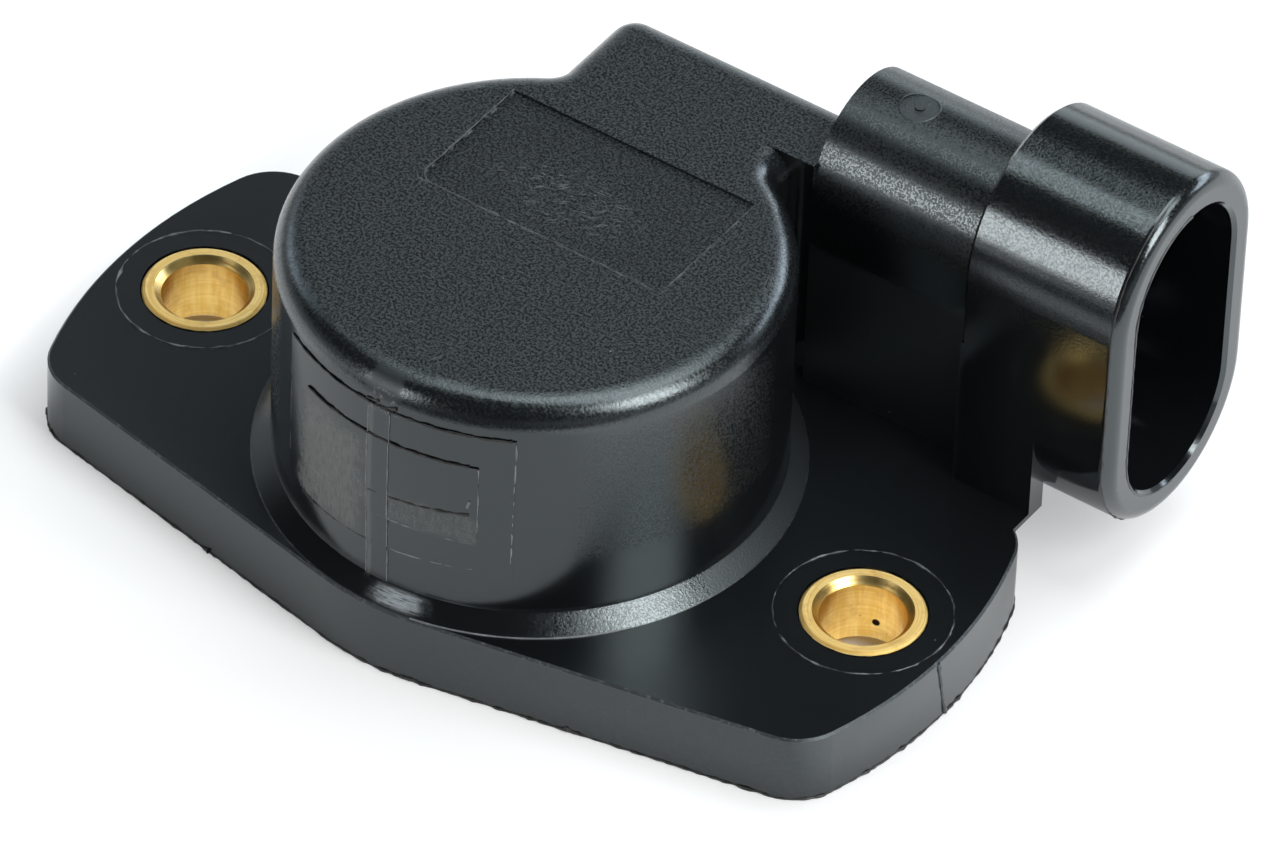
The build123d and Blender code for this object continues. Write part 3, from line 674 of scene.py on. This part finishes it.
def turned_brass():
    """Brass with lathe rings on its faces, streaks and tarnish in the bore, and a dark speck."""
    f = Finish("turned_brass")
    across = f.minus(f.absolute(f.x), SCREW_X)
    reach = f.span(across, f.y)
    around = f.chain("ARCTAN2", f.y, across)
    rings = f.noise(9.0, 3.0, 0.7, place=f.join(reach, f.times(around, 0.05)))
    streaks = f.noise(1.0, 3.0, 0.6, place=f.join(f.times(around, 5.0), f.times(f.z, 0.25)))
    bands = f.noise(1.0, 2.0, 0.6, place=f.join(f.times(around, 0.4), f.times(f.z, 5.0)))
    in_bore = f.step(reach, BORE_R + 0.08, BORE_R + 0.03)
    on_bevel = f.times(f.minus(1.0, in_bore), f.step(reach, BORE_R + 0.36, BORE_R + 0.33))
    pits = f.specks(2.2, 0.10, 0.25)

    face = f.blend(f.step(rings, 0.35, 0.65), (0.81, 0.52, 0.14), (0.98, 0.76, 0.34))
    wall = f.blend(f.step(f.plus(f.times(streaks, 0.6), f.times(bands, 0.4)), 0.35, 0.65),
                   (0.82, 0.50, 0.11), (0.98, 0.71, 0.25))
    colour = f.blend(in_bore, face, wall)
    tarnish = f.times(f.step(f.noise(1.1, 3.0, 0.65), 0.50, 0.72), 0.35)
    colour = f.blend(tarnish, colour, (0.55, 0.28, 0.07))
    to_speck = f.vector("DISTANCE", f.place, BORE_SPECK, "Value")
    speck = f.most(f.step(to_speck, 0.24, 0.17), f.times(pits, 0.6))
    colour = f.blend(speck, colour, (0.03, 0.014, 0.006))
    rough = f.level(in_bore, f.level(rings, 0.60, 0.78), f.level(streaks, 0.26, 0.40))
    rough = f.level(on_bevel, rough, 0.30)
    f.relief(f.times(rings, f.minus(1.0, in_bore), 0.010), f.times(in_bore, bands, 0.006))
    filmed = f.level(f.most(in_bore, on_bevel), 0.72, 1.0)
    f.paint(Base_Color=colour, Metallic=filmed, Roughness=f.level(speck, rough, 0.7))
    return f.material


finishes["brass"] = turned_brass()
print("finishes", sorted(finishes))

# %% [markdown]
# ## The works
#
# These pieces show from below or through the connector's mouth. Metal strip is streaked along the way it
# was rolled or drawn, moulded pieces have a soft grain with faint flow lines, and the film is amber
# plastic with printed black tracks. Each starts from its own colour in the record.

# %% Finishes of the works
slot_colour = {slot["slot"]: tuple(slot["base_color"]) for slot in frame["record"]["materials"]}


def shade(colour, factor):
    """A darker or lighter version of a colour."""
    return tuple(min(1.0, part * factor) for part in colour)


def strip_metal(slot, stretch, dark, smooth, rough):
    """Rolled or drawn metal with streaks along its length and a little tarnish."""
    f = Finish(slot)
    streaks = f.noise(3.0, 4.0, 0.65, stretch)
    dull = f.step(f.noise(0.8, 3.0, 0.6), 0.48, 0.7)
    colour = f.blend(f.step(streaks, 0.3, 0.7), shade(slot_colour[slot], dark), slot_colour[slot])
    colour = f.blend(f.times(dull, 0.4), colour, shade(slot_colour[slot], 0.45))
    f.relief(f.times(streaks, 0.006))
    f.paint(Base_Color=colour, Metallic=1.0, Roughness=f.level(f.most(streaks, dull), smooth, rough))
    return f.material


def moulded(slot, grain_scale, depth, rough_low, rough_high):
    """A moulded or rubbery surface with a fine grain, faint flow lines and small scuffs."""
    f = Finish(slot)
    grain = f.noise(grain_scale, 3.0, 0.6)
    flow = f.noise(0.5, 3.0, 0.6, (0.5, 1.0, 2.5))
    colour = f.blend(f.step(flow, 0.3, 0.7), shade(slot_colour[slot], 0.75), shade(slot_colour[slot], 1.2))
    scuffed = f.times(f.step(f.noise(1.3, 4.0, 0.75), 0.58, 0.7), 0.35)
    colour = f.blend(scuffed, colour, shade(slot_colour[slot], 2.2))
    f.relief(f.times(grain, depth), f.times(flow, 0.02))
    f.paint(Base_Color=colour, Roughness=f.level(f.most(flow, scuffed), rough_low, rough_high))
    return f.material


def printed_film(slot):
    """Amber film with two black resistive tracks and silver ends to them."""
    f = Finish(slot)
    low, high = (corner.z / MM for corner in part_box("film_element"))
    share = f.step(f.z, low, high)
    track = f.most(f.between(share, 0.14, 0.36, 0.02), f.between(share, 0.56, 0.82, 0.02))
    grain = f.noise(8.0, 3.0, 0.7)
    amber = f.blend(f.noise(0.4, 3.0, 0.6), shade(slot_colour[slot], 0.8), shade(slot_colour[slot], 1.3))
    carbon = f.blend(grain, (0.008, 0.008, 0.009), (0.022, 0.022, 0.024))
    f.relief(f.times(track, 0.02), f.times(track, grain, 0.006))
    f.paint(Base_Color=f.blend(track, amber, carbon), Roughness=f.level(track, 0.22, 0.5))
    return f.material


finishes["tinned_terminal"] = strip_metal("tinned_terminal", (0.08, 2.0, 2.0), 0.82, 0.22, 0.40)
finishes["contact_alloy"] = strip_metal("contact_alloy", (2.0, 2.0, 0.1), 0.80, 0.20, 0.36)
finishes["spring_steel"] = strip_metal("spring_steel", (0.6, 0.6, 4.0), 0.70, 0.25, 0.42)
finishes["natural_plastic"] = moulded("natural_plastic", 5.0, 0.012, 0.40, 0.55)
finishes["rotor_plastic"] = moulded("rotor_plastic", 5.0, 0.014, 0.34, 0.55)
finishes["seal_rubber"] = moulded("seal_rubber", 8.0, 0.018, 0.62, 0.80)
finishes["plate_plastic"] = moulded("plate_plastic", 5.0, 0.016, 0.36, 0.55)
finishes["film"] = printed_film("film")
print("finishes", sorted(finishes))

# %% Give the nodes their finishes
for part in frame["record"]["subparts"]:
    for slot in nodes[part["node"]].material_slots:
        slot.material = finishes[part["material_slot"]]

# %% [markdown]
# ## Mould lines and flash
#
# Where two halves of a mould meet, the plastic creeps out as a thin ragged ridge: round the screw bushes,
# along the lower edge, up the end of the flange, on the connector's rim and in the window on the front
# wall. Each of these is a path, so they share one Geometry Nodes tree. It divides the path into short
# steps, lets noise push the points about and swell or pinch the ridge, and sweeps a small round section
# along it. Half of the ridge is buried in the moulding.
# Some ridges are paler than the moulding and paint light on edges: the sides of the raised band, the lip at
# the foot and the mouth's lip are painted highlights, the pale window lines and the panel's worn lip are
# partly painted highlights, and the pale bits on the bush rings are painted glints.

# %% Ridge tree
def uneven_ridge():
    """A tree that turns paths into thin ragged ridges."""
    tree = bpy.data.node_groups.new("uneven_ridge", "GeometryNodeTree")
    tree.interface.new_socket("Geometry", in_out="INPUT", socket_type="NodeSocketGeometry")
    sizes = {"Thickness": 0.05, "Spacing": 0.2, "Raggedness": 0.5, "Wander": 0.0, "Seed": 0.0}
    for name, value in sizes.items():
        tree.interface.new_socket(name, in_out="INPUT", socket_type="NodeSocketFloat").default_value = value
    tree.interface.new_socket("Finish", in_out="INPUT", socket_type="NodeSocketMaterial")
    tree.interface.new_socket("Geometry", in_out="OUTPUT", socket_type="NodeSocketGeometry")
    n = Nodes(tree)
    given = tree.nodes.new("NodeGroupInput").outputs

    divide = tree.nodes.new("GeometryNodeResampleCurve")
    divide.mode = "LENGTH"
    n.fill(divide.inputs["Curve"], given["Geometry"])
    n.fill(divide.inputs["Length"], n.times(given["Spacing"], MM))

    place = n.add("ShaderNodeVectorMath", "SCALE", Vector=n.add("GeometryNodeInputPosition"), Scale=1 / MM)
    lumps = tree.nodes.new("ShaderNodeTexNoise")
    lumps.noise_dimensions = "4D"
    for name, value in (("Vector", place), ("W", given["Seed"]), ("Scale", 1.8), ("Detail", 3.0)):
        n.fill(lumps.inputs[name], value)
    swell = n.plus(1.0, n.times(n.minus(lumps.outputs[0], 0.5), 4.0, given["Raggedness"]))
    thickness = n.times(n.most(swell, 0.12), given["Thickness"], MM)
    middle = n.vector("SUBTRACT", lumps.outputs[1], (0.5, 0.5, 0.5))
    shove = n.add("ShaderNodeVectorMath", "SCALE", Vector=middle, Scale=n.times(given["Wander"], 4 * MM))

    moved = n.add("GeometryNodeSetPosition", Geometry=divide.outputs[0], Offset=shove)
    disc = n.add("GeometryNodeCurvePrimitiveCircle", Resolution=8, Radius=1.0)
    swept = n.add("GeometryNodeCurveToMesh", Curve=moved, Profile_Curve=disc, Scale=thickness, Fill_Caps=True)
    smooth = n.add("GeometryNodeSetShadeSmooth", Geometry=swept)
    finished = n.add("GeometryNodeSetMaterial", Geometry=smooth, Material=given["Finish"])
    whole = n.add("GeometryNodeRealizeInstances", Geometry=finished)
    link(tree, whole, tree.nodes.new("NodeGroupOutput").inputs[0])
    return tree


RIDGE = uneven_ridge()
print("ridge tree has", len(RIDGE.nodes), "nodes")

# %% Ridges from paths
def ridge(name, paths, finish, **sizes):
    """Sweeps a ragged ridge along paths in millimetres and hands back its mesh as a piece."""
    curve = bpy.data.curves.new(name, "CURVE")
    curve.dimensions = "3D"
    for points, closed in paths:
        spline = curve.splines.new("POLY")
        spline.points.add(len(points) - 1)
        for spot, point in zip(spline.points, points):
            spot.co = (point[0] * MM, point[1] * MM, point[2] * MM, 1)
        spline.use_cyclic_u = closed
    drawn = bpy.data.objects.new(name + "_path", curve)
    bpy.context.scene.collection.objects.link(drawn)
    modifier = drawn.modifiers.new("ridge", "NODES")
    modifier.node_group = RIDGE
    sizes["Finish"] = finish
    for socket in RIDGE.interface.items_tree:
        if socket.in_out == "INPUT" and socket.name in sizes:
            modifier[socket.identifier] = sizes[socket.name]
    drawn = drawn.evaluated_get(bpy.context.evaluated_depsgraph_get())
    piece = bpy.data.objects.new(name, bpy.data.meshes.new_from_object(drawn))
    bpy.context.scene.collection.objects.link(piece)
    bpy.data.objects.remove(drawn.original)
    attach(piece, "case")
    print(name, len(piece.data.polygons), "faces")
    return piece


def flash_finish(name, dark, pale):
    """Torn plastic, dry and a little paler where it whitened as it broke; paler ridges also paint highlights.
    """
    f = Finish(name)
    whitened = f.step(f.noise(1.4, 3.0, 0.7), 0.42, 0.66)
    f.relief(f.times(f.noise(7.0, 3.0, 0.65), 0.03))
    f.paint(Base_Color=f.blend(whitened, dark, pale), Roughness=f.level(whitened, 0.38, 0.62), IOR=1.7)
    return f.material


torn_flash = flash_finish("torn_flash", (0.006, 0.005, 0.0045), (0.022, 0.018, 0.015))
# flash for the bush rings, its pale bits painted glints
pale_flash_and_glints = flash_finish("pale_flash_and_glints", (0.014, 0.0155, 0.017), (0.20, 0.21, 0.22))
# grey ridges for the panel's lip and the mouth's lip, partly painted edge highlights
dull_flash_and_highlight = flash_finish("dull_flash_and_highlight", (0.035, 0.037, 0.040), (0.110, 0.116, 0.122))
# pale ridges: whitened flash on the nub, painted highlights on the band's sides, window lines and foot
white_flash_and_highlight = flash_finish("white_flash_and_highlight", (0.150, 0.155, 0.160), (0.260, 0.270, 0.280))

# %% Rings round the bushes and on the top
RING_R = 4.47
EJECTOR_PLACE = (-0.07, -9.57)
EJECTOR_R = 1.45


def ring(centre_x, centre_y, z, radius, count=96):
    """A closed round path."""
    turns = [math.tau * i / count for i in range(count)]
    return [(centre_x + radius * math.cos(t), centre_y + radius * math.sin(t), z) for t in turns], True


rings = [ring(side * SCREW_X, 0, FLANGE_TOP, RING_R) for side in (-1, 1)]
# raised rings round the bushes; their pale bits are painted glints
ridge("bush_rings", rings, pale_flash_and_glints, Thickness=0.035, Raggedness=1.7, Wander=0.04, Seed=3.0)
ejector = [ring(*EJECTOR_PLACE, TOP_Z, EJECTOR_R)]
ridge("ejector_ring", ejector, finishes["black_plastic"], Thickness=0.03, Raggedness=0.8, Seed=5.0)

# %% Worn lip of the sunk panel, partly a painted edge highlight
def panel_path(round_off=0.5):
    """Down the panel's left side, along its front and up its right side, with eased corners."""
    x, front, back = PANEL_X, PANEL_FRONT, PANEL_BACK
    left = [(-x, back), (-x, front + round_off), (-x + round_off, front)]
    return [(px, py, TOP_Z) for px, py in left + [(-px, py) for px, py in reversed(left)]], False


ridge("panel_lip", [panel_path()], dull_flash_and_highlight, Thickness=0.025, Raggedness=1.6, Wander=0.03, Seed=14.0)

# %% Painted shadow in the seam round each bush
def seam_shadow():
    """A painted shadow in the seam: a dry, black line that mirrors nothing."""
    f = Finish("seam_shadow")
    shadow_mottle = f.noise(5.0, 3.0, 0.7)
    f.paint(Base_Color=f.blend(shadow_mottle, (0.0008, 0.0008, 0.0008), (0.005, 0.004, 0.003)), Roughness=0.9)
    f.surface.inputs["Specular IOR Level"].default_value = 0.0
    return f.material


# painted shadow: a black bead laid in the gap round each bush
seam_shadow_rings = [ring(side * SCREW_X, 0, FLANGE_TOP, BUSH_R + 0.05) for side in (-1, 1)]
ridge("bush_seam_shadows", seam_shadow_rings, seam_shadow(), Thickness=0.03, Raggedness=1.0, Wander=0.01, Seed=4.0)

# %% Flash along the lower edge
def lower_outline():
    """The flange's outer edge on the table, walked round on a merged copy of the housing's mesh."""
    copy = bmesh.new()
    copy.from_mesh(nodes["housing"].data)
    bmesh.ops.remove_doubles(copy, verts=copy.verts, dist=0.001 * MM)
    foot_z = cad_box[0].z + 0.01 * MM
    low = {e for e in copy.edges if max(v.co.z for v in e.verts) < foot_z and len(e.link_faces) == 2}
    sharp = {e for e in low if e.calc_face_angle() > 1.0}
    start = min((v for e in sharp for v in e.verts), key=lambda v: (v.co.x, v.co.y))
    walk, last = [start], None
    while len(walk) < 2 or walk[-1] is not start:
        last = next(e for e in walk[-1].link_edges if e in sharp and e is not last)
        walk.append(last.other_vert(walk[-1]))
    outline = [v.co / MM for v in walk[:-1]]
    copy.free()
    return outline


FLASH_R = 0.06
outline = lower_outline()
edge = [(point.x, point.y, FLASH_R) for point in outline]
ridge("edge_flash", [(edge, True)], torn_flash, Thickness=FLASH_R, Raggedness=0.9, Wander=0.05, Seed=1.0)
print("lower edge has", len(outline), "corners")

# %% Burrs on the lower edge
BURRS = ((2.5, 0.9), (11.1, 0.8), (-23.4, 0.2), (-22.3, 0.3), (-11.0, 0.3))
BURR_R = 0.11


def front_edge(x):
    """How far forward the lower edge lies at a place along X."""
    sides = zip(outline, outline[1:] + outline[:1])
    across = [(a, b) for a, b in sides if min(a.x, b.x) <= x < max(a.x, b.x)]
    return min(a.y + (b.y - a.y) * (x - a.x) / (b.x - a.x) for a, b in across)


stretches = [[x + length * share for share in (-0.5, -0.2, 0.2, 0.5)] for x, length in BURRS]
burrs = [([(x, front_edge(x), BURR_R) for x in stretch], False) for stretch in stretches]
ridge("edge_burrs", burrs, torn_flash, Thickness=BURR_R, Spacing=0.1, Raggedness=0.9, Wander=0.06, Seed=2.0)

# %% Lines in the window on the front wall
def wall_path(turn_from, turn_to, z_from, z_to, rise, count=40):
    """A path along the front wall, with its ends given as degrees from the front and heights."""
    points = []
    for i in range(count + 1):
        share = i / max(count, 1)
        turn = math.radians(turn_from + (turn_to - turn_from) * share)
        z = z_from + (z_to - z_from) * share
        points.append(((BODY_R + rise) * math.sin(turn), -(BODY_R + rise) * math.cos(turn), z))
    return points, False


dark_lines = [
    wall_path(-31.0, 30.0, 16.05, 16.05, 0.05),
    wall_path(-22.5, 21.0, 14.1, 14.1, 0.13),
    wall_path(-30.9, -31.0, 15.9, 8.2, 0.04),
    wall_path(-3.0, 21.0, 10.5, 11.0, 0.15),
    wall_path(-25.0, 3.0, 6.8, 7.15, 0.04),
]
pale_lines = [
    wall_path(3.0, 22.0, 7.15, 7.4, 0.05),
    wall_path(-21.0, 23.0, 9.15, 9.15, 0.12),
    wall_path(23.0, 23.0, 9.2, 14.0, 0.12),
    wall_path(30.5, 31.0, 8.0, 15.9, 0.05),
]
BAND_STEPS = ((4.9, 0.03), (7.15, 0.03), (7.25, 0.11), (9.1, 0.11), (9.2, 0.19), (14.05, 0.19), (14.15, 0.11),
              (15.9, 0.11))
band_sides = [(sum((wall_path(turn, turn, z, z, rise, 0)[0] for z, rise in BAND_STEPS), []), False)
              for turn in (-3.5, 2.1)]
chips = [wall_path(-4.2, -1.0, 16.2, 16.35, 0.0, 8), wall_path(0.4, 3.6, 16.1, 16.3, 0.0, 8)]
nub = [wall_path(20.7, 21.2, 11.5, 11.9, 0.16, 6)]
ridge("window_dark_lines", dark_lines, torn_flash, Thickness=0.05, Raggedness=0.9, Wander=0.05, Seed=7.0)
# pale lines along the window's edges: flash and painted highlights
ridge("window_pale_lines", pale_lines, white_flash_and_highlight, Thickness=0.04, Raggedness=0.9, Wander=0.03, Seed=9.0)
# painted highlights: pale lines down both sides of the raised band
ridge("band_sides", band_sides, white_flash_and_highlight, Thickness=0.03, Raggedness=0.5, Wander=0.01, Seed=8.0)
ridge("band_chips", chips, torn_flash, Thickness=0.10, Spacing=0.1, Raggedness=1.2, Wander=0.06, Seed=6.0)
ridge("window_nub", nub, white_flash_and_highlight, Thickness=0.09, Spacing=0.1, Raggedness=0.6, Seed=10.0)

# %% Lip at the foot of the body: a pale ridge that paints a highlight
FLARE_R = 13.9
flare_rise = FLARE_R - BODY_R - 0.02
flare_lip = [wall_path(10.0, 56.0, FLANGE_TOP + 0.02, FLANGE_TOP + 0.02, flare_rise)]
# painted highlight: a pale bead along the outer edge of the foot
ridge("flare_lip", flare_lip, white_flash_and_highlight, Thickness=0.05, Raggedness=0.3, Seed=15.0)

# %% Seams on the flange's end and on the connector's rim
SHROUD_R = 6.05
SHROUD_HALF = 4.1
MOUTH_R = 4.55
RIM_ROUND = 0.7
RIM_TURN = math.radians(14)
LATCH_HEIGHT = 1.2
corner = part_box("housing")[1] / MM
mouth = corner - Vector((0, LATCH_HEIGHT + SHROUD_R, SHROUD_R + SHROUD_HALF))


def rim_path(x, radius, count=24):
    """The front half of the connector's rim: over the crest and down the side."""
    arc = [math.radians(90 + 90 * i / count) for i in range(count + 1)]
    over = [(x, mouth.y + radius * math.cos(t), mouth.z + SHROUD_HALF + radius * math.sin(t)) for t in arc]
    under = [(x, y, 2 * mouth.z - z) for x, y, z in reversed(over)]
    return over + under, False


round_x = mouth.x - RIM_ROUND * (1 - math.sin(RIM_TURN))
round_r = SHROUD_R - RIM_ROUND * (1 - math.cos(RIM_TURN))
end_seam = [([(24.98, -0.8, 3.9), (25.0, 0.0, 0.1)], False)]
rim_seam = [rim_path(round_x, round_r)]
ridge("rim_seam", rim_seam, torn_flash, Thickness=0.045, Raggedness=1.0, Wander=0.03, Seed=11.0)
# painted highlight: a pale lip along the inner edge of the mouth
ridge("mouth_lip", [rim_path(mouth.x, MOUTH_R)], dull_flash_and_highlight, Thickness=0.05, Raggedness=0.5, Seed=12.0)
ridge("end_seam", end_seam, finishes["black_plastic"], Thickness=0.11, Raggedness=0.4, Wander=0.04, Seed=13.0)

# %% [markdown]
# ## End
#

# %% End
print("done")
